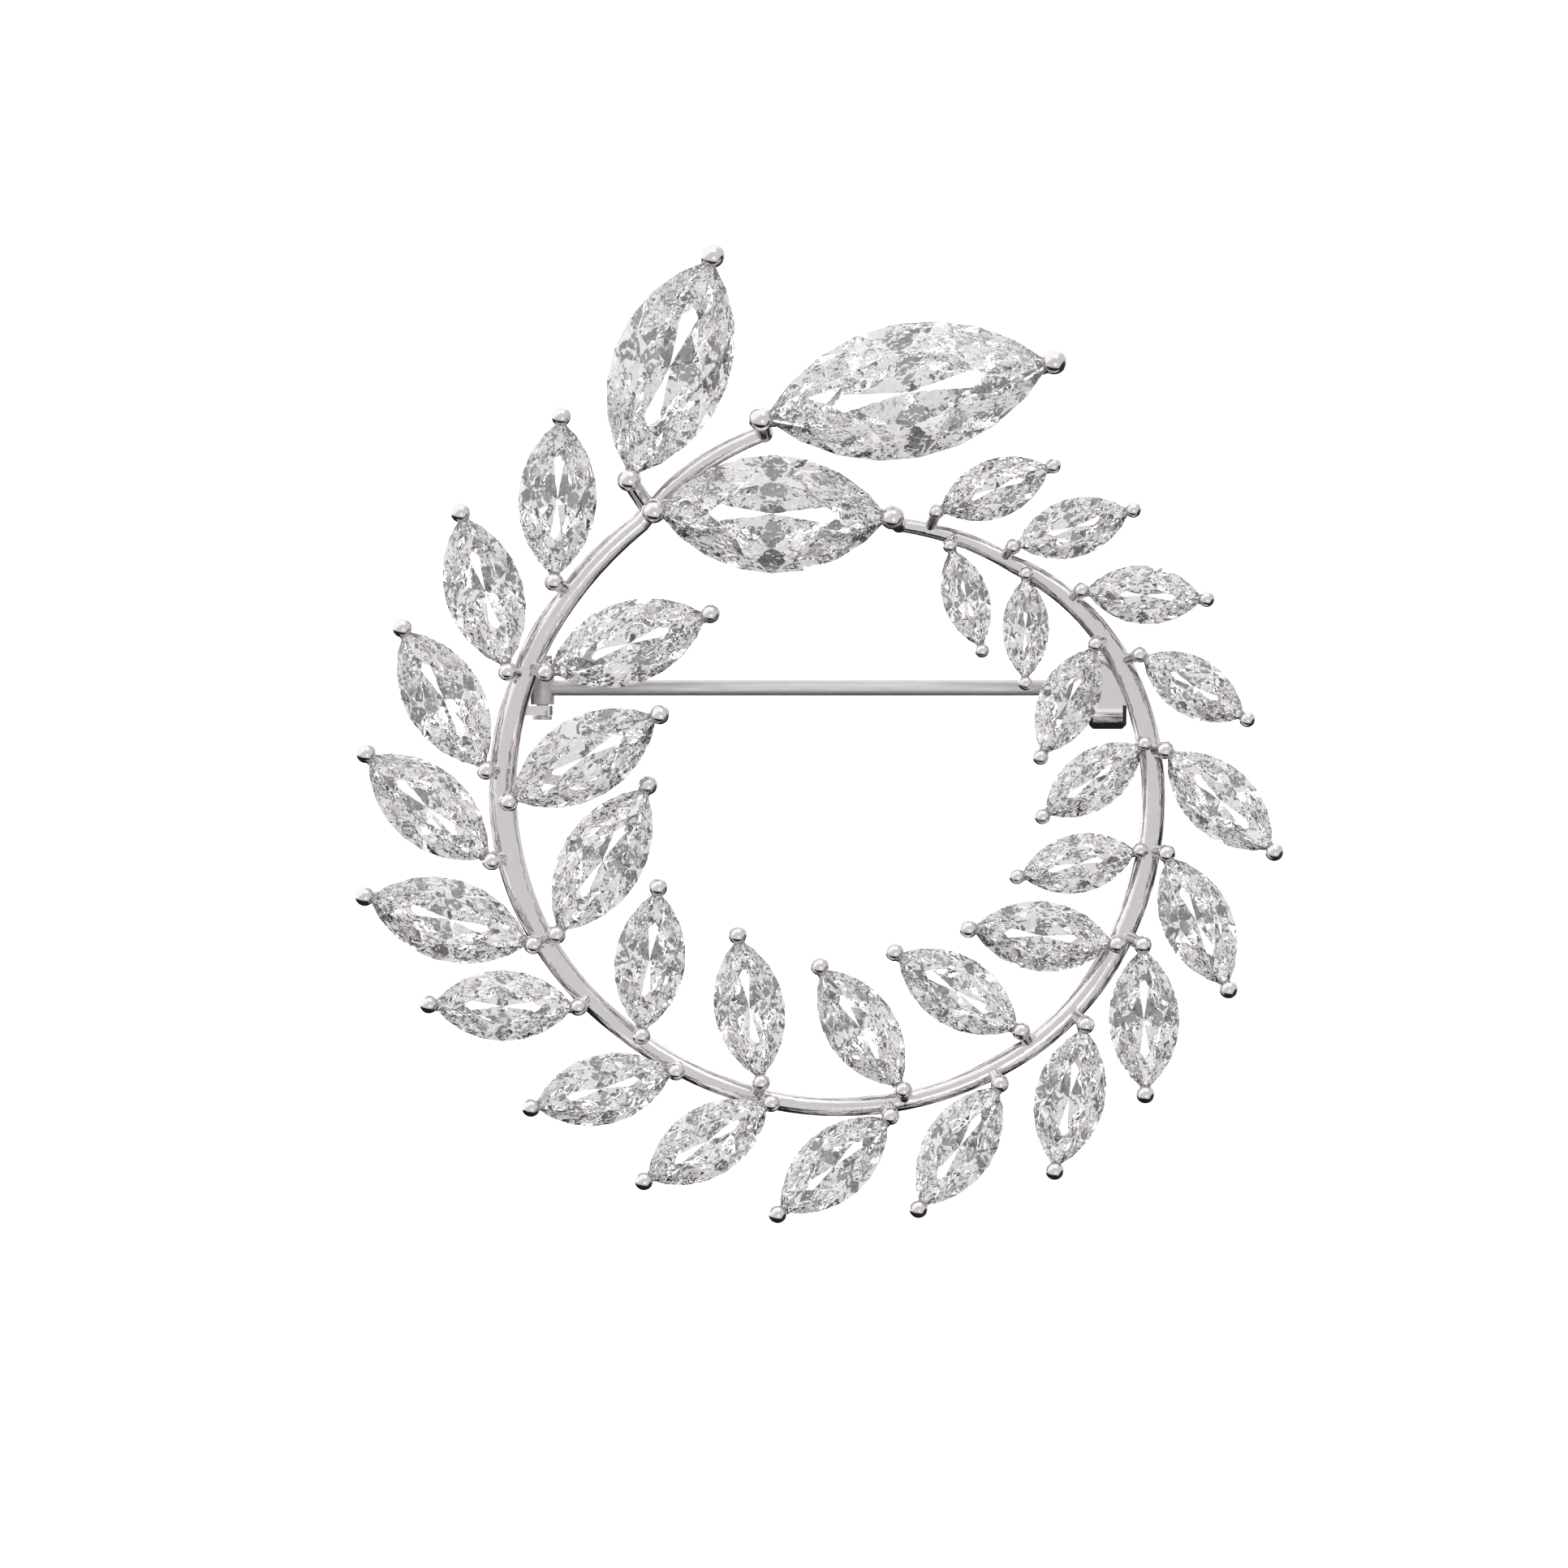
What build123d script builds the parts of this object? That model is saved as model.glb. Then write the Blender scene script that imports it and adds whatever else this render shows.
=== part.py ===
from build123d import *
import math
import os

# Leaf wreath brooch in millimetres, lying face up: X to the right, Y up the brooch, Z out of its front.
# The stem's centre line lies in the plane Z = 0 until the whole piece is set down on its back.

# Stem: one round wire in an open, nearly round spiral, thin at its inner end
ring_radius = 16.4
stem_wire_radius = 0.74
stem_start_angle = 75.0
stem_spans = 13
sections_per_span = 2
stem_end_share = 1.12

# Leaf settings, shared by every leaf
leaf_lift = 0.95
ball_overhang = 0.17
ball_rise = 0.12
seat_gap = 0.04
post_share = 0.7
post_start_share = 0.62
seat_rail_share = 0.84
base_rail_share = 0.5
rail_height = 0.42
rail_wall = 0.36
prong_foot_share = 0.75

# Cut of the stones: heights as shares of the width, facet breaks as shares of crown and pavilion
crown_share = 0.15
girdle_share = 0.045
pavilion_share = 0.42
table_share = 0.56
star_share = 0.58
lower_girdle_share = 0.5

# Needle, hinged behind the left side of the stem
needle_radius = 0.4
needle_line_y = 4.63
needle_line_z = -1.9
needle_length = 30.05
needle_taper_length = 4.4
needle_point_radius = 0.08
barrel_radius = 0.6
barrel_width = 1.7
bore_clearance = 0.04

# Hinge: a plate soldered behind the stem, two cheeks that stand out from it towards the middle of
# the brooch with the barrel open between them, and the rivet through them, set in from the stem's
# centre line
hinge_inset = 1.14
rivet_radius = 0.3
rivet_head_radius = 0.5
rivet_head_height = 0.2
rivet_head_gap = 0.02
cheek_hole_clearance = 0.02
side_clearance = 0.06
cheek_thickness = 0.5
cheek_radius = 0.55
plate_gap = 0.1
plate_top_z = -0.3

# Catch: an oval hook open to the back, its middle set back from the needle's point, on a foot that
# reaches the stem
catch_set_back = 1.45
catch_length = 1.9
catch_width = 4.2
catch_height = 2.4
catch_bore_clearance = 0.15
catch_mouth_clearance = 0.15
catch_foot_width = 1.8
catch_foot_thickness = 0.8
catch_bevel = 0.2

# Calibrated sizes: stone length and width, ball and prong radius, setting depth under the girdle
SIZES = {
    "5x2.5": dict(length=5.2, width=2.4, ball=0.37, wire=0.24, depth=1.95),
    "6x3": dict(length=6.0, width=3.0, ball=0.41, wire=0.26, depth=2.1),
    "7x3.5": dict(length=7.2, width=3.6, ball=0.47, wire=0.3, depth=2.65),
    "8x4": dict(length=8.0, width=4.0, ball=0.5, wire=0.32, depth=2.65),
    "8.5x4": dict(length=8.5, width=4.2, ball=0.5, wire=0.32, depth=2.5),
    "12x6": dict(length=11.7, width=6.0, ball=0.62, wire=0.42, depth=3.4),
    "15x7": dict(length=14.7, width=6.85, ball=0.64, wire=0.46, depth=4.4),
}

# Stem stations: degrees clockwise from the thin end, share of ring_radius, share of
# stem_wire_radius, and rise out of the plane as a share of leaf_lift
STEM_COLUMNS = ("turn", "radius", "wire", "rise")
STEM_STATIONS = (
    (0, 0.812, 0.50, 0.0),
    (26, 0.872, 0.62, 0.0),
    (42, 0.934, 0.74, 0.0),
    (57, 0.968, 0.80, 0.0),
    (75, 0.99, 0.84, 0.0),
    (95, 1.008, 0.88, 0.0),
    (120, 1.027, 0.82, 0.0),
    (145, 1.018, 0.70, 0.0),
    (170, 1.006, 0.67, 0.0),
    (195, 0.999, 0.70, 0.0),
    (208, 1.002, 0.72, 0.0),
    (225, 1.016, 0.82, 0.0),
    (250, 1.015, 1.00, 0.0),
    (275, 0.998, 0.91, 0.0),
    (290, 0.99, 0.84, 0.0),
    (308, 0.985, 0.72, 0.0),
    (325, 1.058, 0.64, 0.4),
    (334, 1.085, 0.58, 0.9),
)

# Leaves: node, size, side of the stem, degrees along it, reach of the foot ball from its centre as
# a share of stem_wire_radius, lean from the normal towards the thick end in degrees, lift above
# leaf_lift as a share of it, and degrees of tip up and of roll
LEAF_COLUMNS = ("node", "size", "side", "turn", "reach", "lean", "lift", "pitch", "roll")
LEAVES = (
    ("outer_stone_01", "6x3", "out", 6.5, 1.28, 47, 0.0, 3, -4),
    ("outer_stone_02", "6x3", "out", 23, 1.01, 35, 0.0, 2, 5),
    ("outer_stone_03", "6x3", "out", 38, 1.0, 41, 0.0, 4, -3),
    ("outer_stone_04", "6x3", "out", 53, 1.4, 53, 0.0, 2, 4),
    ("outer_stone_05", "7x3.5", "out", 70, 1.05, 48, 0.0, 3, 6),
    ("outer_stone_06", "7x3.5", "out", 87.5, 1.22, 53, 0.0, 2, -4),
    ("outer_stone_07", "7x3.5", "out", 103, 1.57, 61, 0.0, 1, 3),
    ("outer_stone_08", "7x3.5", "out", 119, 1.35, 58, 0.0, 3, -5),
    ("outer_stone_09", "7x3.5", "out", 136, 1.08, 62, 0.0, 2, 4),
    ("outer_stone_10", "7x3.5", "out", 155, 0.88, 59, 0.0, 1, 7),
    ("outer_stone_11", "7x3.5", "out", 175.5, 0.2, 48, 0.11, 3, -3),
    ("outer_stone_12", "7x3.5", "out", 193, 0.41, 48, 0.11, 2, -6),
    ("outer_stone_13", "7x3.5", "out", 213, 0.92, 43, 0.0, 3, 5),
    ("outer_stone_14", "8.5x4", "out", 226, 0.7, 45, 0.11, 2, -4),
    ("outer_stone_15", "8x4", "out", 241.5, 1.28, 54, 0.0, 3, 6),
    ("outer_stone_16", "8x4", "out", 256.5, 1.12, 58, 0.0, 2, 4),
    ("outer_stone_17", "8x4", "out", 273.5, 1.12, 55, 0.0, 3, -5),
    ("outer_stone_18", "8x4", "out", 290.5, 1.28, 57, 0.0, 2, 3),
    ("inner_stone_01", "5x2.5", "in", 12, 0.7, 44, 0.0, 2, 5),
    ("inner_stone_02", "5x2.5", "in", 28.5, 0.18, 43, 0.0, 3, -4),
    ("inner_stone_03", "6x3", "in", 48, 0.8, 37, 0.0, 2, 6),
    ("inner_stone_04", "6x3", "in", 68.5, 0.29, 29, 0.0, 3, -3),
    ("inner_stone_05", "6x3", "in", 88, 0.6, 25, 0.0, 2, 4),
    ("inner_stone_06", "7x3.5", "in", 105, 0.05, 24, 0.16, 3, -4),
    ("inner_stone_07", "7x3.5", "in", 128, 1.22, 21, 0.0, 2, 5),
    ("inner_stone_08", "7x3.5", "in", 152, 0.74, 21, 0.0, 3, 6),
    ("inner_stone_09", "7x3.5", "in", 178, 1.01, 22, 0.0, 2, -3),
    ("inner_stone_10", "7x3.5", "in", 201.5, 0.4, 30, 0.0, 2, 4),
    ("inner_stone_11", "8.5x4", "in", 225.5, 0.99, 29, -0.11, -2, -4),
    ("inner_stone_12", "8.5x4", "in", 251, 0.45, 26, 0.53, 5, 5),
    ("inner_stone_13", "8.5x4", "in", 275.5, 1.31, 40, 0.0, 3, -5),
    ("top_stone", "12x6", "out", 311, 2.64, 54.5, 0.26, 2, 4),
    ("crest_stone", "15x7", "out", 334, 0.92, 90, 1.37, 2, -5),
    ("centre_stone", "12x6", "in", 311.5, 0.14, 55, 0.58, 0, 3),
)

# The centre leaf closes the wreath: its tip is soldered to the stem's thin end as well
CLOSING_LEAF = "centre_stone"

FACETS = 8
CROSSING_STEPS = 6
UPRIGHT = (Align.CENTER, Align.CENTER, Align.MIN)


def stem_at(turn):
    """Centre, outward normal and wire radius of the stem at one turn, smooth between stations."""
    rows = [dict(zip(STEM_COLUMNS, row)) for row in STEM_STATIONS]
    last = len(rows) - 2
    index = min(last, max(i for i, row in enumerate(rows) if row["turn"] <= max(turn, 0)))
    low, high = rows[index], rows[index + 1]
    before, after = rows[max(index - 1, 0)], rows[min(index + 2, last + 1)]
    span = high["turn"] - low["turn"]
    u = (turn - low["turn"]) / span

    def smooth(column):
        leaving = (high[column] - before[column]) * span / (high["turn"] - before["turn"])
        arriving = (after[column] - low[column]) * span / (after["turn"] - low["turn"])
        held = low[column] * (2 * u**3 - 3 * u**2 + 1) + high[column] * (3 * u**2 - 2 * u**3)
        return held + leaving * (u**3 - 2 * u**2 + u) + arriving * (u**3 - u**2)

    angle = math.radians(stem_start_angle - turn)
    outward = Vector(math.cos(angle), math.sin(angle), 0)
    centre = outward * (smooth("radius") * ring_radius) + Vector(0, 0, smooth("rise") * leaf_lift)
    return centre, outward, smooth("wire") * stem_wire_radius


def stem_pieces():
    """Short lofts of the tapered wire that share their end circles, and a bead on each end."""
    last_turn = STEM_STATIONS[-1][0]
    count = stem_spans * sections_per_span
    turns = [last_turn * i / count for i in range(count + 1)]
    points = [stem_at(turn)[0] for turn in turns]
    sections = []
    for i, turn in enumerate(turns):
        direction = points[min(i + 1, count)] - points[max(i - 1, 0)]
        sections.append(Plane(origin=points[i], z_dir=direction) * Circle(stem_at(turn)[2]))
    starts = range(0, count, sections_per_span)
    wires = [loft(sections[start : start + sections_per_span + 1]) for start in starts]
    beads = [Pos(stem_at(turn)[0]) * Sphere(stem_at(turn)[2] * stem_end_share) for turn in (0, last_turn)]
    return wires + beads


def rod(start, end, radius):
    """Round rod from one point to another."""
    run = end - start
    return Plane(origin=start, z_dir=run) * Cylinder(radius, run.length, align=UPRIGHT)


def rim_point(length, width, step):
    """Point and outward normal on the marquise outline, at sixteenths from its +X tip."""
    half_length, half_width = length / 2, width / 2
    arc_radius = (half_length**2 + half_width**2) / width
    half_angle = math.asin(half_length / arc_radius)
    if step % FACETS == 0:
        outward = Vector(1 if step == 0 else -1, 0)
        return outward * half_length, outward
    side = 1 if step < FACETS else -1
    from_tip = step if side > 0 else 2 * FACETS - step
    angle = half_angle * (1 - 2 * from_tip / FACETS)
    normal = Vector(math.sin(angle), side * math.cos(angle))
    return normal * arc_radius - Vector(0, side * (arc_radius - half_width)), normal


def meeting_point(rim, share):
    """Where two neighbouring facets meet in plan, each drawn in to a share of its distance."""
    (point_a, normal_a), (point_b, normal_b) = rim
    reach_a, reach_b = point_a.dot(normal_a) * share, point_b.dot(normal_b) * share
    turn = normal_a.X * normal_b.Y - normal_a.Y * normal_b.X
    x = (reach_a * normal_b.Y - reach_b * normal_a.Y) / turn
    y = (normal_a.X * reach_b - normal_b.X * reach_a) / turn
    return Vector(x, y)


def facet(*points):
    return Face(Wire.make_polygon(points, close=True))


def marquise_stone(length, width):
    """Marquise brilliant about its girdle's centre: table, stars, kites, girdle, lowers and mains."""
    crown = crown_share * width
    pavilion = pavilion_share * width
    up = Vector(0, 0, girdle_share * width / 2)
    rim = [rim_point(length, width, step) for step in range(2 * FACETS)]
    top = [point + up for point, _ in rim]
    low = [point - up for point, _ in rim]
    culet = Vector(0, 0, -pavilion) - up

    table, stars, lowers = [], [], []
    for i in range(FACETS):
        pair = rim[2 * i], rim[(2 * i + 2) % (2 * FACETS)]
        table.append(pair[0][0] * table_share + Vector(0, 0, crown) + up)
        star = meeting_point(pair, 1 - (1 - table_share) * star_share)
        stars.append(star + Vector(0, 0, crown * star_share) + up)
        lower = meeting_point(pair, 1 - lower_girdle_share)
        lowers.append(lower - Vector(0, 0, pavilion * lower_girdle_share) - up)

    faces = [facet(*table)]
    for i in range(FACETS):
        main, half, after = 2 * i, 2 * i + 1, (2 * i + 2) % (2 * FACETS)
        faces.append(facet(table[i], stars[i], table[(i + 1) % FACETS]))
        faces.append(facet(table[i], stars[i - 1], top[main], stars[i]))
        faces.append(facet(culet, lowers[i - 1], low[main], lowers[i]))
        for first, second in ((main, half), (half, after)):
            faces.append(facet(stars[i], top[first], top[second]))
            faces.append(facet(lowers[i], low[first], low[second]))
            faces.append(facet(low[first], low[second], top[second], top[first]))
    return Solid(Shell(faces))


def rail(length, width):
    """Flat wire bent to a marquise outline, one side to each kite of the stone, resting on Z = 0."""
    inner_width = width - 2 * rail_wall
    edges = []
    for size in ((length, width), (length * inner_width / width, inner_width)):
        corners = [rim_point(*size, 2 * i)[0] for i in range(FACETS)]
        edges.append(make_face(Polyline(*corners, close=True)))
    return extrude(edges[0] - edges[1], rail_height)


def setting(length, width, ball, wire, depth):
    """Open basket: a seat rail, a base rail and a ball-tipped prong at each end, cut for the stone."""
    seat_z = -(girdle_share / 2 + pavilion_share * (1 - seat_rail_share)) * width - rail_height
    pieces = []
    for share, low in ((seat_rail_share, seat_z), (base_rail_share, -depth)):
        pieces.append(Pos(0, 0, low) * rail(share * length, share * width))
    for side in (-1, 1):
        tip = Vector(side * (length / 2 + ball_overhang), 0, ball_rise)
        foot = Vector(side * base_rail_share * length / 2, 0, prong_foot_share * wire - depth)
        outward = Rot(0, 0, 90 - 90 * side)
        pieces += [rod(tip, foot, wire), Pos(tip) * outward * Sphere(ball)]
    grown = 1 + seat_gap / (seat_rail_share * width / 2)
    return pieces[0].fuse(*pieces[1:]).cut(marquise_stone(length * grown, width * grown))


def leaf_places(leaf):
    """Location of a leaf's girdle centre, with its tip along local X, and its two ball centres."""
    side = 1 if leaf["side"] == "out" else -1
    centre, outward, _ = stem_at(leaf["turn"])
    foot = centre + outward * (side * leaf["reach"] * stem_wire_radius)
    foot = Vector(foot.X, foot.Y, leaf_lift * (1 + leaf["lift"]))
    normal_angle = stem_start_angle - leaf["turn"] + (0 if side > 0 else 180)
    heading = normal_angle - side * leaf["lean"]
    turned = Pos(foot) * Rot(0, 0, heading) * Rot(0, -leaf["pitch"], 0) * Rot(leaf["roll"], 0, 0)
    ball_x = SIZES[leaf["size"]]["length"] / 2 + ball_overhang
    place = turned * Pos(ball_x, 0, 0)
    balls = [(place * Pos(end * ball_x, 0, ball_rise)).position for end in (-1, 1)]
    return place, balls


def post(ball_centre, stem_point, ball):
    """Solder post from just under a ball into the middle of the stem."""
    run = stem_point - ball_centre
    start = ball_centre + run.normalized() * (ball * post_start_share)
    return rod(start, stem_point, ball * post_share)


def stem_crossing(side):
    """Point of the stem's centre line level with the needle, on the left (-1) or the right (1)."""
    radius = ring_radius
    for _ in range(CROSSING_STEPS):
        climb = math.degrees(math.asin(needle_line_y / radius))
        direction = climb if side > 0 else 180 - climb
        crossing = stem_at((stem_start_angle - direction) % 360)[0]
        radius = crossing.length
    return crossing


def hinge_axis_x():
    """X of the rivet, set in from where the needle's line crosses the left side of the stem."""
    return stem_crossing(-1).X + hinge_inset


def hinge_lug():
    """Plate behind the stem with two round-ended cheeks, drilled for the rivet."""
    hinge_x = hinge_axis_x()
    inner = barrel_width / 2 + side_clearance
    outer = inner + cheek_thickness
    plate_x = hinge_x - barrel_radius - plate_gap
    stem_x = stem_crossing(-1).X
    lug = Pos(plate_x, needle_line_y, plate_top_z) * Box(
        plate_x - stem_x,
        2 * outer,
        plate_top_z - needle_line_z + cheek_radius,
        align=(Align.MAX, Align.CENTER, Align.MAX),
    )
    cheek = Circle(cheek_radius) + Rectangle(
        hinge_x - stem_x, 2 * cheek_radius, align=(Align.MAX, Align.CENTER)
    )
    cheek -= Circle(rivet_radius + cheek_hole_clearance)
    for start in (needle_line_y - outer, needle_line_y + inner):
        corner = Vector(hinge_x, start + cheek_thickness, needle_line_z)
        plane = Plane(origin=corner, x_dir=(1, 0, 0), z_dir=(0, -1, 0))
        lug = lug.fuse(extrude(plane * cheek, cheek_thickness))
    return lug


def catch_hook():
    """Bevelled oval hook round the needle, its mouth to the back, with a foot that reaches the stem."""
    catch_x = hinge_axis_x() + needle_length - catch_set_back
    bore = needle_radius + catch_bore_clearance
    mouth = 2 * (needle_radius + catch_mouth_clearance)
    opening = Circle(bore) + Rectangle(mouth, catch_height, align=(Align.CENTER, Align.MAX))
    inner_end = Vector(catch_x - catch_length / 2, needle_line_y, needle_line_z)
    plane = Plane(origin=inner_end, x_dir=(0, 1, 0), z_dir=(1, 0, 0))
    oval = extrude(plane * SlotOverall(catch_width, catch_height), catch_length)
    hook = chamfer(oval.edges().filter_by(Axis.X, reverse=True), catch_bevel)
    hook -= extrude(plane * opening, catch_length)
    ends = catch_x - catch_length / 2, catch_x + catch_length / 2, stem_crossing(1).X
    foot_z = needle_line_z + catch_height / 2 - catch_foot_thickness / 2
    foot = Pos(min(ends), needle_line_y, foot_z) * Box(
        max(ends) - min(ends),
        catch_foot_width,
        catch_foot_thickness,
        align=(Align.MIN, Align.CENTER, Align.MIN),
    )
    return hook.fuse(foot)


def needle():
    """Barrel across the hinge with a straight round shank that tapers to a point."""
    hinge_x = hinge_axis_x()
    across = Plane(origin=(hinge_x, needle_line_y - barrel_width / 2, needle_line_z), z_dir=(0, 1, 0))
    barrel = across * Cylinder(barrel_radius, barrel_width, align=UPRIGHT)
    shank_end = hinge_x + needle_length - needle_taper_length
    start, end = (Vector(x, needle_line_y, needle_line_z) for x in (hinge_x, shank_end))
    taper = Plane(origin=end, z_dir=(1, 0, 0)) * Cone(
        needle_radius, needle_point_radius, needle_taper_length, align=UPRIGHT
    )
    bore = across * Cylinder(rivet_radius + bore_clearance, barrel_width, align=UPRIGHT)
    return barrel.fuse(rod(start, end, needle_radius), taper).cut(bore)


def hinge_rivet():
    """Rivet through both cheeks and the barrel, with a flat head on each side."""
    hinge_x = hinge_axis_x()
    reach = barrel_width / 2 + side_clearance + cheek_thickness + rivet_head_gap
    low = Vector(hinge_x, needle_line_y - reach, needle_line_z)
    high = Vector(hinge_x, needle_line_y + reach, needle_line_z)
    head = Vector(0, rivet_head_height, 0)
    return rod(low, high, rivet_radius).fuse(
        rod(low - head, low, rivet_head_radius), rod(high, high + head, rivet_head_radius)
    )


def brooch():
    """Every node by name, in the stem's own frame."""
    stones = {name: marquise_stone(size["length"], size["width"]) for name, size in SIZES.items()}
    settings = {name: setting(**size) for name, size in SIZES.items()}
    nodes = {}
    metal = stem_pieces() + [hinge_lug(), catch_hook()]
    for row in LEAVES:
        leaf = dict(zip(LEAF_COLUMNS, row))
        ball = SIZES[leaf["size"]]["ball"]
        place, balls = leaf_places(leaf)
        nodes[leaf["node"]] = place * stones[leaf["size"]]
        metal.append(place * settings[leaf["size"]])
        metal.append(post(balls[0], stem_at(leaf["turn"])[0], ball))
        if leaf["node"] == CLOSING_LEAF:
            metal.append(post(balls[1], stem_at(0)[0], ball))
    nodes["wreath_frame"] = metal[0].fuse(*metal[1:])
    nodes["needle"] = needle()
    nodes["hinge_rivet"] = hinge_rivet()
    return nodes


def main():
    nodes = brooch()
    box = Compound(children=[Part(node.wrapped) for node in nodes.values()]).bounding_box()
    middle = box.center()
    set_down = Pos(-middle.X, -middle.Y, -box.min.Z)
    os.makedirs("parts", exist_ok=True)
    for name, node in nodes.items():
        export_step(set_down * node, f"parts/{name}.step", write_pcurves=False)


if __name__ == "__main__":
    main()
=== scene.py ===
"""Dresses the leaf wreath brooch: cut stones, plated metal and the light tent it is seen in."""

import math

import bpy
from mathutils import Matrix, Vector


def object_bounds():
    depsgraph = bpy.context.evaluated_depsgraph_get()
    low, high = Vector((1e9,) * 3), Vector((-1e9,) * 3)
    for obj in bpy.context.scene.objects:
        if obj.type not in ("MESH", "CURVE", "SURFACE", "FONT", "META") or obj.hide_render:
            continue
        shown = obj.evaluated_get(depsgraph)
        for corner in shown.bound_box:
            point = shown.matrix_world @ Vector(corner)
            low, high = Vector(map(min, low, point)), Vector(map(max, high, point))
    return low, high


bl_info = {
    "name": "Leaf wreath brooch",
    "version": (1, 0, 0),
    "blender": (4, 5, 0),
    "location": "3D View > Sidebar > Brooch",
    "description": "Cut stones, plated metal and a light tent for a wreath brooch",
    "category": "Object",
}

MM = 0.001

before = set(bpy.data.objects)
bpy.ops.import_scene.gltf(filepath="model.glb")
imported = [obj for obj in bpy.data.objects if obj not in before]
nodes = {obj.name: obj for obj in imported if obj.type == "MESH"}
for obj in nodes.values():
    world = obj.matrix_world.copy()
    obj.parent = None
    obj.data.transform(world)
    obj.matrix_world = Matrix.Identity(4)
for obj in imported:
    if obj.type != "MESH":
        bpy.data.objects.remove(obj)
cad_low, cad_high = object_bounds()

# The photograph's frame: its side and the outline's middle in pixels, and pixels to a real mm
PHOTO_SIDE_PX = 1932
OUTLINE_MIDDLE_PX = (1009.4, 903.9)
PHOTO_PX_PER_MM = 24.4

# Stones: octaves of the noise behind the tint's clouds, and behind the lap's smooth waves
CLOUD_OCTAVES = 2.0
WAVE_OCTAVES = 1.0

# Metal: octaves of the marks' noise and how much the fine ones show, the noise heights where
# the dull part of a mark begins and where it is full, and how deep a mark is at full relief
MARK_OCTAVES = 4.0
MARK_FINENESS = 0.6
MARK_BEGINS = 0.35
MARK_FULL = 0.7
MARK_DEPTH_MM = 0.01

# How many times as long as wide a mark is along x, y and z: round where parts were tumbled,
# along the wire where it was drawn
TUMBLED = (1, 1, 1)
DRAWN_ALONG_NEEDLE = (12, 1, 1)
DRAWN_ALONG_RIVET = (1, 6, 1)

# Floor: width of the haze in the opal sheet, its darkest shade, and the sheet's matt surface
HAZE_MM = 40
HAZE_SHADE = 0.995
SHEET_ROUGHNESS = 0.6
SHEET_SPECULAR = 0.1
FLOOR_SIDES = 96

# Tent cloth: octaves of the folds' noise, and the noise heights at a fold's dark foot and at
# its lit edge. They are close together, so the folds are as sharp as those of pulled cloth.
FOLD_OCTAVES = 2.0
FOLD_FOOT = 0.4
FOLD_EDGE = 0.455

# A cut stone turns light back inside itself more often than a plain mirror does
STONE_BOUNCES = 12

# How far the camera sees, in metres
CAMERA_REACH = 10

# Cards of the light tent: where each stands as seen from the brooch, in degrees round from the
# right side and up from the table, how wide it looks, its soft edge and its light
CARD_COLUMNS = ("azimuth", "elevation", "radius", "edge", "light")
# What the metal reflects. The wide pale card edges the wire towards the upper left, the two
# small ones are the glints on the ball tips, and the two dark ones draw the wire's lower line.
METAL_CARDS = (
    (125, -15, 60, 20, 1.3),
    (300, 62, 9, 7, 1.5),
    (70, 35, 14, 8, 1.4),
    (262, -24, 54, 10, 0.02),
    (330, -15, 28, 10, 0.04),
)
# What the stones break up. Two dark cards stand below and to the lower right of the brooch, a
# bright one at the upper left, and the camera's dark hole is straight above.
STONE_CARDS = (
    (270, 35, 22, 10, 0.12),
    (330, 25, 14, 8, 0.12),
    (120, 50, 14, 6, 1.4),
    (0, 90, 5, 2, 0.1),
)


def linear(colour):
    """Linear red, green, blue and alpha of a display colour, by the sRGB curve."""
    shades = [c / 12.92 if c <= 0.04045 else ((c + 0.055) / 1.055) ** 2.4 for c in colour[:3]]
    return (*shades, 1.0)


def picked(code):
    """Display-space red, green and blue of a hex colour."""
    return tuple(int(code[i : i + 2], 16) / 255 for i in (1, 3, 5))


def add_node(tree, kind, inputs=None, **settings):
    """Adds a node with its settings, and a value or a link for each input named."""
    node = tree.nodes.new(kind)
    for name, value in settings.items():
        setattr(node, name, value)
    for name, value in (inputs or {}).items():
        if isinstance(value, bpy.types.NodeSocket):
            tree.links.new(value, node.inputs[name])
        else:
            node.inputs[name].default_value = value
    return node


def new_material(name):
    """A material with an empty node tree."""
    material = bpy.data.materials.new(name)
    material.use_nodes = True
    material.node_tree.nodes.clear()
    return material


def wear(names, material):
    """Puts one material on each CAD node named."""
    for name in names:
        nodes[name].data.materials.clear()
        nodes[name].data.materials.append(material)


def cut_cubic_zirconia(stones):
    """Clear cubic zirconia, lap-polished: clean windows, grey glints, facets a hair off flat."""
    material = new_material("cut_cubic_zirconia")
    tree = material.node_tree
    place = add_node(tree, "ShaderNodeTexCoord")
    growth = add_node(
        tree,
        "ShaderNodeTexNoise",
        {
            "Vector": place.outputs["Object"],
            "Scale": 1 / (stones.cloud_size * MM),
            "Detail": CLOUD_OCTAVES,
        },
    )
    tint = add_node(
        tree,
        "ShaderNodeMix",
        {
            "Factor": growth.outputs["Fac"],
            "A": linear(stones.tint_light),
            "B": linear(stones.tint_dark),
        },
        data_type="RGBA",
    )
    lap = add_node(
        tree,
        "ShaderNodeTexNoise",
        {
            "Vector": place.outputs["Object"],
            "Scale": 1 / (stones.wave_size * MM),
            "Detail": WAVE_OCTAVES,
        },
    )
    waves = add_node(
        tree,
        "ShaderNodeBump",
        {"Height": lap.outputs["Fac"], "Strength": 1.0, "Distance": stones.wave_height * MM},
    )
    surface = add_node(
        tree,
        "ShaderNodeBsdfPrincipled",
        {
            "Base Color": tint.outputs["Result"],
            "Roughness": stones.roughness,
            "IOR": stones.ior,
            "Transmission Weight": 1.0,
            "Normal": waves.outputs["Normal"],
        },
    )
    add_node(tree, "ShaderNodeOutputMaterial", {"Surface": surface.outputs["BSDF"]})
    return material


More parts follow.
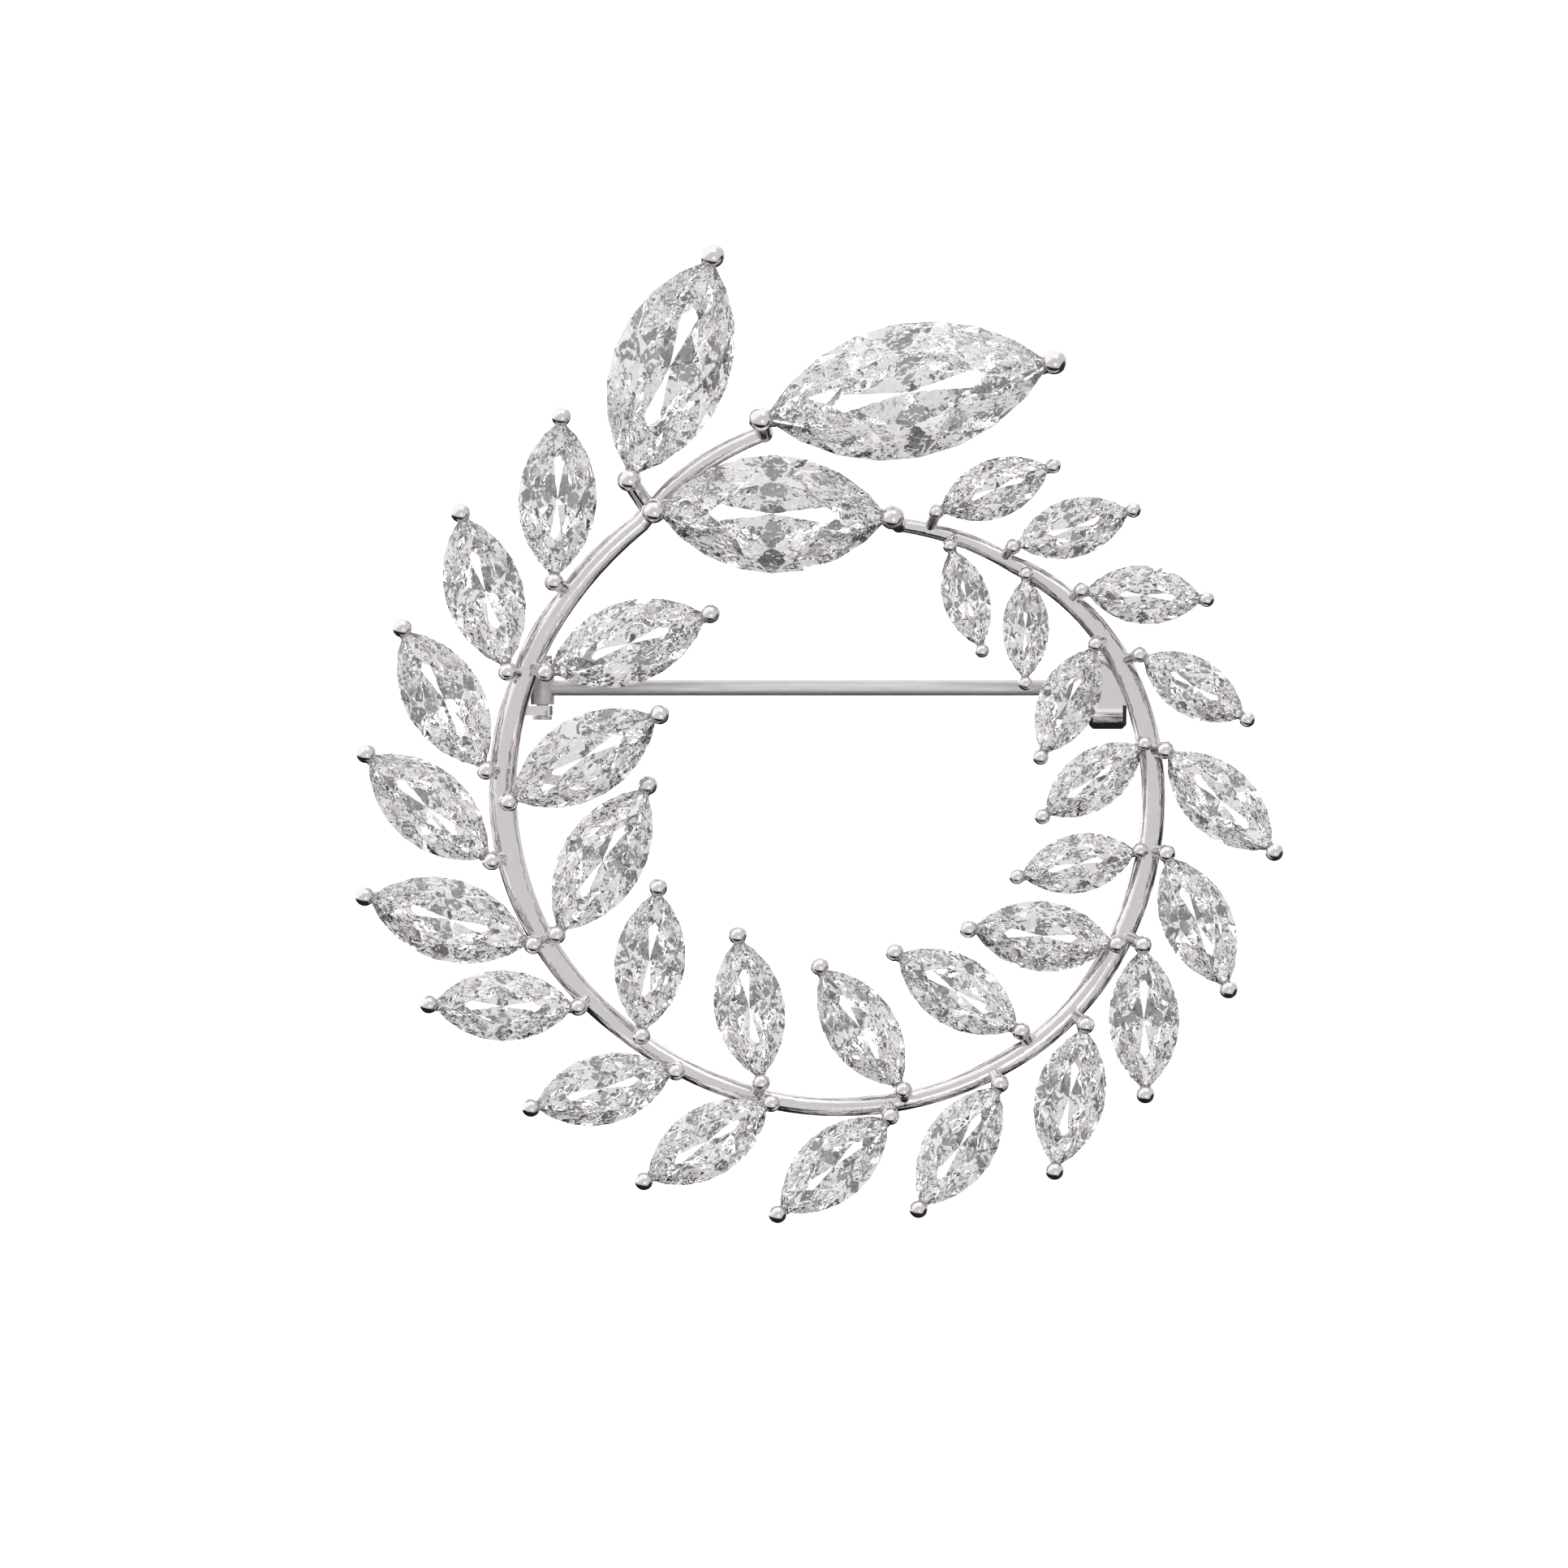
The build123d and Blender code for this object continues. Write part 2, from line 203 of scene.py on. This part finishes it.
def plated_metal(name, metal, stretch):
    """Rhodium plate, a pale grey mirror, with marks drawn out as far as the work drew them."""
    material = new_material(name)
    tree = material.node_tree
    place = add_node(tree, "ShaderNodeTexCoord")
    drawn = add_node(
        tree,
        "ShaderNodeMapping",
        {
            "Vector": place.outputs["Object"],
            "Scale": [1 / (metal.mark_size * MM * s) for s in stretch],
        },
    )
    marks = add_node(
        tree,
        "ShaderNodeTexNoise",
        {
            "Vector": drawn.outputs["Vector"],
            "Scale": 1.0,
            "Detail": MARK_OCTAVES,
            "Roughness": MARK_FINENESS,
        },
    )
    shine = add_node(
        tree,
        "ShaderNodeMapRange",
        {
            "Value": marks.outputs["Fac"],
            "From Min": MARK_BEGINS,
            "From Max": MARK_FULL,
            "To Min": metal.roughness_low,
            "To Max": metal.roughness_high,
        },
    )
    tone = add_node(
        tree,
        "ShaderNodeMix",
        {
            "Factor": marks.outputs["Fac"],
            "A": linear(metal.plate_light),
            "B": linear(metal.plate_dark),
        },
        data_type="RGBA",
    )
    relief = add_node(
        tree,
        "ShaderNodeBump",
        {
            "Height": marks.outputs["Fac"],
            "Strength": metal.mark_strength,
            "Distance": MARK_DEPTH_MM * MM,
        },
    )
    surface = add_node(
        tree,
        "ShaderNodeBsdfPrincipled",
        {
            "Base Color": tone.outputs["Result"],
            "Metallic": 1.0,
            "Roughness": shine.outputs["Result"],
            "Normal": relief.outputs["Normal"],
        },
    )
    add_node(tree, "ShaderNodeOutputMaterial", {"Surface": surface.outputs["BSDF"]})
    return material


def opal_acrylic(stage):
    """Cast opal acrylic of a light table: white, matt, and lit from below, so shadows are pale."""
    material = new_material("opal_acrylic")
    tree = material.node_tree
    place = add_node(tree, "ShaderNodeTexCoord")
    haze = add_node(
        tree,
        "ShaderNodeTexNoise",
        {"Vector": place.outputs["Object"], "Scale": 1 / (HAZE_MM * MM)},
    )
    tone = add_node(
        tree,
        "ShaderNodeMix",
        {
            "Factor": haze.outputs["Fac"],
            "A": linear(stage.floor_colour),
            "B": linear([HAZE_SHADE * c for c in stage.floor_colour]),
        },
        data_type="RGBA",
    )
    surface = add_node(
        tree,
        "ShaderNodeBsdfPrincipled",
        {
            "Base Color": tone.outputs["Result"],
            "Roughness": SHEET_ROUGHNESS,
            "Specular IOR Level": SHEET_SPECULAR,
            "Emission Color": linear(stage.floor_colour),
            "Emission Strength": stage.floor_light,
        },
    )
    add_node(tree, "ShaderNodeOutputMaterial", {"Surface": surface.outputs["BSDF"]})
    return material


def add_cards(tree, direction, light, cards):
    """Sets each card before the light of the tent, and gives the light that is left."""
    for row in cards:
        card = dict(zip(CARD_COLUMNS, row))
        azimuth = math.radians(card["azimuth"])
        elevation = math.radians(card["elevation"])
        aim = Vector(
            (
                math.cos(elevation) * math.cos(azimuth),
                math.cos(elevation) * math.sin(azimuth),
                math.sin(elevation),
            )
        )
        facing = add_node(
            tree, "ShaderNodeVectorMath", {0: direction, 1: aim}, operation="DOT_PRODUCT"
        )
        cover = add_node(
            tree,
            "ShaderNodeMapRange",
            {
                "Value": facing.outputs["Value"],
                "From Min": math.cos(math.radians(card["radius"] + card["edge"])),
                "From Max": math.cos(math.radians(card["radius"])),
            },
            interpolation_type="SMOOTHSTEP",
        )
        covered = add_node(
            tree,
            "ShaderNodeMix",
            {"Factor": cover.outputs["Result"], "A": light, "B": card["light"]},
            data_type="FLOAT",
        )
        light = covered.outputs["Result"]
    return light


def light_tent(stage):
    """A white tent all round: folds of cloth for the stones, cards for the metal, a clean floor."""
    world = bpy.data.worlds.new("light_tent")
    world.use_nodes = True
    tree = world.node_tree
    tree.nodes.clear()
    direction = add_node(tree, "ShaderNodeTexCoord").outputs["Generated"]
    folds = add_node(
        tree,
        "ShaderNodeTexNoise",
        {"Vector": direction, "Scale": stage.fold_scale, "Detail": FOLD_OCTAVES},
    )
    cloth = add_node(
        tree,
        "ShaderNodeMapRange",
        {
            "Value": folds.outputs["Fac"],
            "From Min": FOLD_FOOT,
            "From Max": FOLD_EDGE,
            "To Min": stage.fold_shade,
        },
        interpolation_type="SMOOTHSTEP",
    )
    smooth = add_cards(tree, direction, stage.cloth_light, STONE_CARDS)
    broken_up = add_node(
        tree, "ShaderNodeMath", {0: smooth, 1: cloth.outputs["Result"]}, operation="MULTIPLY"
    )
    mirrored = add_cards(tree, direction, stage.tent_light, METAL_CARDS)
    ray = add_node(tree, "ShaderNodeLightPath")
    light = add_node(
        tree,
        "ShaderNodeMix",
        {
            "Factor": ray.outputs["Is Transmission Ray"],
            "A": mirrored,
            "B": broken_up.outputs["Value"],
        },
        data_type="FLOAT",
    )
    glow = add_node(
        tree,
        "ShaderNodeBackground",
        {"Color": linear(stage.light_colour), "Strength": light.outputs["Result"]},
    )
    clean = add_node(
        tree,
        "ShaderNodeBackground",
        {"Color": linear(stage.floor_colour), "Strength": 1.0},
    )
    seen = add_node(
        tree,
        "ShaderNodeMixShader",
        {
            "Fac": ray.outputs["Is Camera Ray"],
            1: glow.outputs["Background"],
            2: clean.outputs["Background"],
        },
    )
    add_node(tree, "ShaderNodeOutputWorld", {"Surface": seen.outputs["Shader"]})
    return world


class StoneSettings(bpy.types.PropertyGroup):
    """Tint and polish of the stones"""

    tint_light: bpy.props.FloatVectorProperty(
        name="Clear tint",
        description="Colour of the clearest cubic zirconia",
        subtype="COLOR_GAMMA",
        size=3,
        min=0,
        max=1,
        default=picked("#fcf8fa"),
    )
    tint_dark: bpy.props.FloatVectorProperty(
        name="Grey tint",
        description="Colour of the slightly greyer stone",
        subtype="COLOR_GAMMA",
        size=3,
        min=0,
        max=1,
        default=picked("#eeeaec"),
    )
    cloud_size: bpy.props.FloatProperty(
        name="Cloud size",
        description="Width of the faint tint changes in a stone, in mm",
        default=6.0,
        min=0.5,
    )
    # A lap leaves waves about this wide; they are drawn higher than real ones, so that they show
    wave_size: bpy.props.FloatProperty(
        name="Wave size",
        description="Width of the lap's faint waves in a facet, in mm",
        default=0.5,
        min=0.05,
    )
    wave_height: bpy.props.FloatProperty(
        name="Wave height",
        description="Height of the lap's faint waves, in mm",
        default=0.012,
        min=0,
    )
    roughness: bpy.props.FloatProperty(
        name="Roughness",
        description="Roughness of a lap-polished facet",
        default=0.0,
        min=0,
        max=1,
    )
    ior: bpy.props.FloatProperty(
        name="IOR",
        description="Refractive index of cubic zirconia",
        default=2.16,
        min=1,
        max=3,
    )


class FrameSettings(bpy.types.PropertyGroup):
    """Plate and tumbling marks of the wreath frame"""

    plate_light: bpy.props.FloatVectorProperty(
        name="Bright plate",
        description="Colour of freshly polished rhodium plate",
        subtype="COLOR_GAMMA",
        size=3,
        min=0,
        max=1,
        default=picked("#e6e2e4"),
    )
    plate_dark: bpy.props.FloatVectorProperty(
        name="Dull plate",
        description="Colour of the plate where tumbling left it duller",
        subtype="COLOR_GAMMA",
        size=3,
        min=0,
        max=1,
        default=picked("#d8d4d6"),
    )
    # Real tumbling marks are finer; they are drawn this coarse so that they show
    mark_size: bpy.props.FloatProperty(
        name="Mark size",
        description="Width of the tumbling marks, in mm",
        default=0.35,
        min=0.01,
    )
    mark_strength: bpy.props.FloatProperty(
        name="Mark relief",
        description="Strength of the tumbling marks' relief",
        default=0.12,
        min=0,
        max=1,
    )
    roughness_low: bpy.props.FloatProperty(
        name="Bright roughness",
        description="Roughness where the polish is best",
        default=0.08,
        min=0,
        max=1,
    )
    roughness_high: bpy.props.FloatProperty(
        name="Dull roughness",
        description="Roughness in the duller marks",
        default=0.16,
        min=0,
        max=1,
    )


class NeedleSettings(bpy.types.PropertyGroup):
    """Plate and drawing marks of the needle and its rivet"""

    plate_light: bpy.props.FloatVectorProperty(
        name="Bright wire",
        description="Colour of the needle's plated wire",
        subtype="COLOR_GAMMA",
        size=3,
        min=0,
        max=1,
        default=picked("#e8e4e6"),
    )
    plate_dark: bpy.props.FloatVectorProperty(
        name="Dull wire",
        description="Colour of the wire in its drawing marks",
        subtype="COLOR_GAMMA",
        size=3,
        min=0,
        max=1,
        default=picked("#d2ced0"),
    )
    # Real drawing marks are a few hundredths of a mm wide; they are drawn coarser so that they show
    mark_size: bpy.props.FloatProperty(
        name="Mark size",
        description="Width of the drawing marks, in mm",
        default=0.12,
        min=0.01,
    )
    mark_strength: bpy.props.FloatProperty(
        name="Mark relief",
        description="Strength of the drawing marks' relief",
        default=0.2,
        min=0,
        max=1,
    )
    roughness_low: bpy.props.FloatProperty(
        name="Bright roughness",
        description="Roughness between the marks",
        default=0.42,
        min=0,
        max=1,
    )
    roughness_high: bpy.props.FloatProperty(
        name="Dull roughness",
        description="Roughness in the marks",
        default=0.6,
        min=0,
        max=1,
    )


class StageSettings(bpy.types.PropertyGroup):
    """The floor, the light tent and the camera"""

    floor_colour: bpy.props.FloatVectorProperty(
        name="Floor colour",
        description="Colour of the opal sheet under the brooch",
        subtype="COLOR_GAMMA",
        size=3,
        min=0,
        max=1,
        default=picked("#f7f7f7"),
    )
    light_colour: bpy.props.FloatVectorProperty(
        name="Light colour",
        description="Colour of the tent's light",
        subtype="COLOR_GAMMA",
        size=3,
        min=0,
        max=1,
        default=picked("#ffffff"),
    )
    tent_light: bpy.props.FloatProperty(
        name="Tent light",
        description="Light of the tent that the metal reflects, between its cards",
        default=0.8,
        min=0,
    )
    cloth_light: bpy.props.FloatProperty(
        name="Cloth light",
        description="Light of the tent cloth that the stones break up, where it hangs smooth",
        default=0.83,
        min=0,
    )
    fold_shade: bpy.props.FloatProperty(
        name="Fold shade",
        description="Share of the cloth's light deep in its folds",
        default=0.0,
        min=0,
    )
    fold_scale: bpy.props.FloatProperty(
        name="Fold scale",
        description="How many folds the cloth has to a radian",
        default=4.0,
        min=0.5,
    )
    floor_light: bpy.props.FloatProperty(
        name="Floor light",
        description="Light that comes up through the floor",
        default=0.85,
        min=0,
    )
    floor_radius: bpy.props.FloatProperty(
        name="Floor radius",
        description="Radius of the floor",
        default=1.5,
        min=0.2,
        unit="LENGTH",
    )
    floor_drop: bpy.props.FloatProperty(
        name="Floor drop",
        description="How far the floor is below the brooch, so that the open needle clears it",
        default=0.036,
        min=0,
        unit="LENGTH",
    )
    camera_height: bpy.props.FloatProperty(
        name="Camera height",
        description="Height of the camera over the brooch",
        default=1.0,
        unit="LENGTH",
    )


class BROOCH_OT_stones(bpy.types.Operator):
    """Gives the 34 marquise stones their cut cubic zirconia"""

    bl_idname = "brooch.stones"
    bl_label = "Stones"

    def execute(self, context):
        names = [name for name in nodes if "_stone" in name]
        if not names:
            raise RuntimeError("the frame has no stones")
        wear(names, cut_cubic_zirconia(context.scene.brooch_stones))
        # The clear stones pass the studio's light on to what lies under them
        for name in names:
            nodes[name].visible_shadow = False
        return {"FINISHED"}


class BROOCH_OT_wreath_frame(bpy.types.Operator):
    """Gives the stem, the settings, the hinge lug and the hook their rhodium plate"""

    bl_idname = "brooch.wreath_frame"
    bl_label = "Wreath frame"

    def execute(self, context):
        # Tumbled before plating: a bright mirror whose reflections are a little soft in places
        plate = plated_metal("polished_rhodium", context.scene.brooch_frame, TUMBLED)
        wear(["wreath_frame"], plate)
        return {"FINISHED"}


class BROOCH_OT_needle(bpy.types.Operator):
    """Gives the needle its plated drawn wire, with marks along its length"""

    bl_idname = "brooch.needle"
    bl_label = "Needle"

    def execute(self, context):
        # Plated as it was drawn: a satin grey with fine lines, and no sharp reflection
        wire = plated_metal("drawn_wire", context.scene.brooch_needle, DRAWN_ALONG_NEEDLE)
        wear(["needle"], wire)
        return {"FINISHED"}


class BROOCH_OT_hinge_rivet(bpy.types.Operator):
    """Gives the hinge rivet the same plated wire, with marks along its own axis"""

    bl_idname = "brooch.hinge_rivet"
    bl_label = "Hinge rivet"

    def execute(self, context):
        # Cut from the needle's wire and closed cold, so as satin as the needle
        wire = plated_metal("rivet_wire", context.scene.brooch_needle, DRAWN_ALONG_RIVET)
        wear(["hinge_rivet"], wire)
        return {"FINISHED"}


class BROOCH_OT_stage(bpy.types.Operator):
    """Makes the opal floor, the light tent and the camera straight above"""

    bl_idname = "brooch.stage"
    bl_label = "Stage"

    def execute(self, context):
        stage = context.scene.brooch_stage
        bpy.ops.mesh.primitive_circle_add(
            vertices=FLOOR_SIDES, radius=stage.floor_radius, fill_type="NGON"
        )
        floor = context.active_object
        floor.location.z = -stage.floor_drop
        floor.name = "floor"
        floor.data.materials.append(opal_acrylic(stage))
        # The metal reflects the tent's lower half instead of the floor
        floor.visible_glossy = False
        context.scene.world = light_tent(stage)
        context.scene.view_settings.view_transform = "Standard"
        context.scene.cycles.glossy_bounces = STONE_BOUNCES

        width = PHOTO_SIDE_PX / PHOTO_PX_PER_MM * MM
        right = (PHOTO_SIDE_PX / 2 - OUTLINE_MIDDLE_PX[0]) / PHOTO_PX_PER_MM * MM
        down = (PHOTO_SIDE_PX / 2 - OUTLINE_MIDDLE_PX[1]) / PHOTO_PX_PER_MM * MM
        camera_data = bpy.data.cameras.new("camera")
        camera_data.lens = camera_data.sensor_width * stage.camera_height / width
        camera_data.clip_end = CAMERA_REACH
        camera = bpy.data.objects.new("camera", camera_data)
        middle_height = (cad_low[2] + cad_high[2]) / 2
        camera.location = (right, -down, middle_height + stage.camera_height)
        context.scene.collection.objects.link(camera)
        context.scene.camera = camera
        return {"FINISHED"}


class BROOCH_PT_panel(bpy.types.Panel):
    """Lists the brooch's settings and a button for each piece"""

    bl_idname = "BROOCH_PT_panel"
    bl_label = "Leaf wreath brooch"
    bl_space_type = "VIEW_3D"
    bl_region_type = "UI"
    bl_category = "Brooch"

    def draw(self, context):
        for kind, settings in SETTINGS.items():
            box = self.layout.box()
            group = getattr(context.scene, kind)
            for name in settings.__annotations__:
                box.prop(group, name)
        for operator in OPERATORS:
            self.layout.operator(operator.bl_idname)


SETTINGS = {
    "brooch_stones": StoneSettings,
    "brooch_frame": FrameSettings,
    "brooch_needle": NeedleSettings,
    "brooch_stage": StageSettings,
}
OPERATORS = (
    BROOCH_OT_stage,
    BROOCH_OT_wreath_frame,
    BROOCH_OT_needle,
    BROOCH_OT_hinge_rivet,
    BROOCH_OT_stones,
)
CLASSES = (*SETTINGS.values(), *OPERATORS, BROOCH_PT_panel)


def register():
    for item in CLASSES:
        bpy.utils.register_class(item)
    for kind, settings in SETTINGS.items():
        setattr(bpy.types.Scene, kind, bpy.props.PointerProperty(type=settings))


def unregister():
    for kind in SETTINGS:
        delattr(bpy.types.Scene, kind)
    for item in reversed(CLASSES):
        bpy.utils.unregister_class(item)


def main():
    register()
    bpy.ops.brooch.stage()
    bpy.ops.brooch.wreath_frame()
    bpy.ops.brooch.needle()
    bpy.ops.brooch.hinge_rivet()
    bpy.ops.brooch.stones()


if __name__ == "__main__":
    main()
